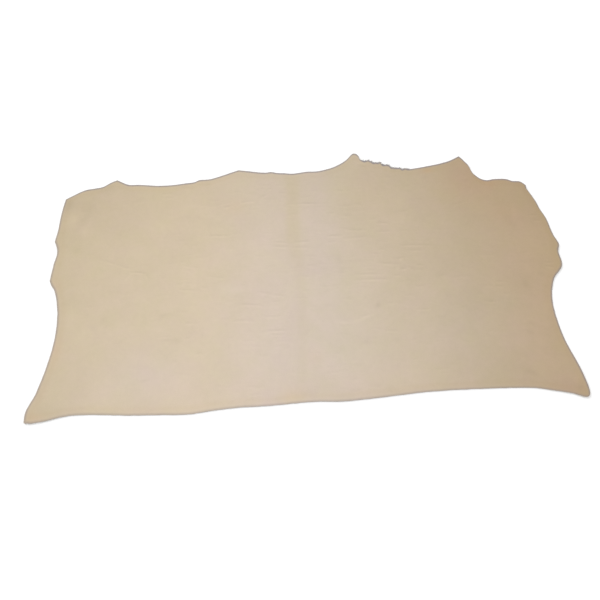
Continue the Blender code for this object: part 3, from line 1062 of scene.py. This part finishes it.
fibre_nodes = fibre_tree()
fibre_material = collagen_fibres()
straight_out = np.column_stack([outward, np.zeros(ring_size)])
cut_first = ring_firsts[CUT_MIDDLE]
fibre_roots = hide_points[cut_first:cut_first + ring_size] - straight_out * FIBRE_ROOT * MM
for row in LOOSE:
    grows = np.flatnonzero(torn >= row.least_torn)
    links = [(i, i + 1) for i in range(len(grows) - 1)]
    if len(grows) == ring_size:
        links.append((ring_size - 1, 0))
    path = bpy.data.meshes.new(row.name)
    path.from_pydata(fibre_roots[grows].tolist(), links, [])
    path_out = path.attributes.new("outward", "FLOAT_VECTOR", "POINT")
    path_out.data.foreach_set("vector", straight_out[grows].ravel())
    piece = bpy.data.objects.new(row.name, path)
    bpy.context.scene.collection.objects.link(piece)
    modifier = piece.modifiers.new("fibres", "NODES")
    modifier.node_group = fibre_nodes
    given = {
        "Count": row.count,
        "Shortest": row.shortest * MM,
        "Longest": row.longest * MM,
        "Seed": row.seed,
        "Fibre": fibre_material,
    }
    for socket in fibre_nodes.interface.items_tree:
        if socket.name in given:
            modifier[socket.identifier] = given[socket.name]
    evaluated = piece.evaluated_get(bpy.context.evaluated_depsgraph_get())
    fibre_mesh = bpy.data.meshes.new_from_object(evaluated)
    piece.modifiers.clear()
    piece.data = fibre_mesh
    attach(piece, "root")

FLOOR_NAME = "floor"

# ---------------------------------------------------------------------------------------------------
# The floor: plain matt white board without a seam, so wide that it reaches the horizon on every side.
# The hide lies loose on it.

FLOOR_HALF = 200.0  # from its middle to each edge, in metres
FLOOR_GAP = 0.0002  # metres, how far it is under the hide
sides = [(-1, -1), (1, -1), (1, 1), (-1, 1)]
floor_corners = [(x * FLOOR_HALF, y * FLOOR_HALF, -FLOOR_GAP) for x, y in sides]
floor_mesh = bpy.data.meshes.new(FLOOR_NAME)
floor_mesh.from_pydata(floor_corners, [], [(0, 1, 2, 3)])
floor = bpy.data.objects.new(FLOOR_NAME, floor_mesh)
bpy.context.scene.collection.objects.link(floor)
# Matt white board: bright, and with no sheen at all.
board, tree, shader = new_material("matt_white_board")
join(tree, shader, {"Base Color": (*linear("f7f7f7"), 1), "Roughness": 1.0, "Specular IOR Level": 0.0})
floor_mesh.materials.append(board)

# ---------------------------------------------------------------------------------------------------
# Light and camera: a white room all round, and one large soft lamp behind the neck's left corner, low
# enough to show the wrinkles. The camera is on the side of the butt cut, and looks down at the hide.

ROOM_LIGHT = 1.0
LAMP_PLACE = Vector((-4.5, 5.5, 5.2))  # metres from the middle of the hide
LAMP_SIZE = 4.5  # metres
LAMP_WATTS = 260.0

world = bpy.data.worlds.new("white_room")
world.use_nodes = True
world.node_tree.nodes["Background"].inputs["Color"].default_value = (1, 1, 1, 1)
world.node_tree.nodes["Background"].inputs["Strength"].default_value = ROOM_LIGHT
bpy.context.scene.world = world
bpy.context.scene.view_settings.view_transform = "Standard"

lamp = bpy.data.lights.new("soft_lamp", "AREA")
lamp.size = LAMP_SIZE
lamp.energy = LAMP_WATTS
soft_lamp = bpy.data.objects.new("soft_lamp", lamp)
soft_lamp.location = LAMP_PLACE
soft_lamp.rotation_euler = (-LAMP_PLACE).to_track_quat("-Z", "Y").to_euler()
bpy.context.scene.collection.objects.link(soft_lamp)

LOOKS_AT = Vector((-0.0082, -0.0854, 0.0))  # metres from the middle of the hide
FROM_ANGLE = math.radians(-3.5)  # round to the left of straight on
ABOVE = math.radians(60)  # how steeply it looks down
AWAY = 3.0  # metres
LENS = 59.7  # millimetres, as the sensor is
SENSOR = 36

camera_data = bpy.data.cameras.new("camera")
camera_data.lens = LENS
camera_data.sensor_width = SENSOR
camera = bpy.data.objects.new("camera", camera_data)
back = Vector((
    math.sin(FROM_ANGLE) * math.cos(ABOVE),
    -math.cos(FROM_ANGLE) * math.cos(ABOVE),
    math.sin(ABOVE),
))
camera.location = LOOKS_AT + back * AWAY
camera.rotation_euler = (-back).to_track_quat("-Z", "Y").to_euler()
bpy.context.scene.collection.objects.link(camera)
bpy.context.scene.camera = camera
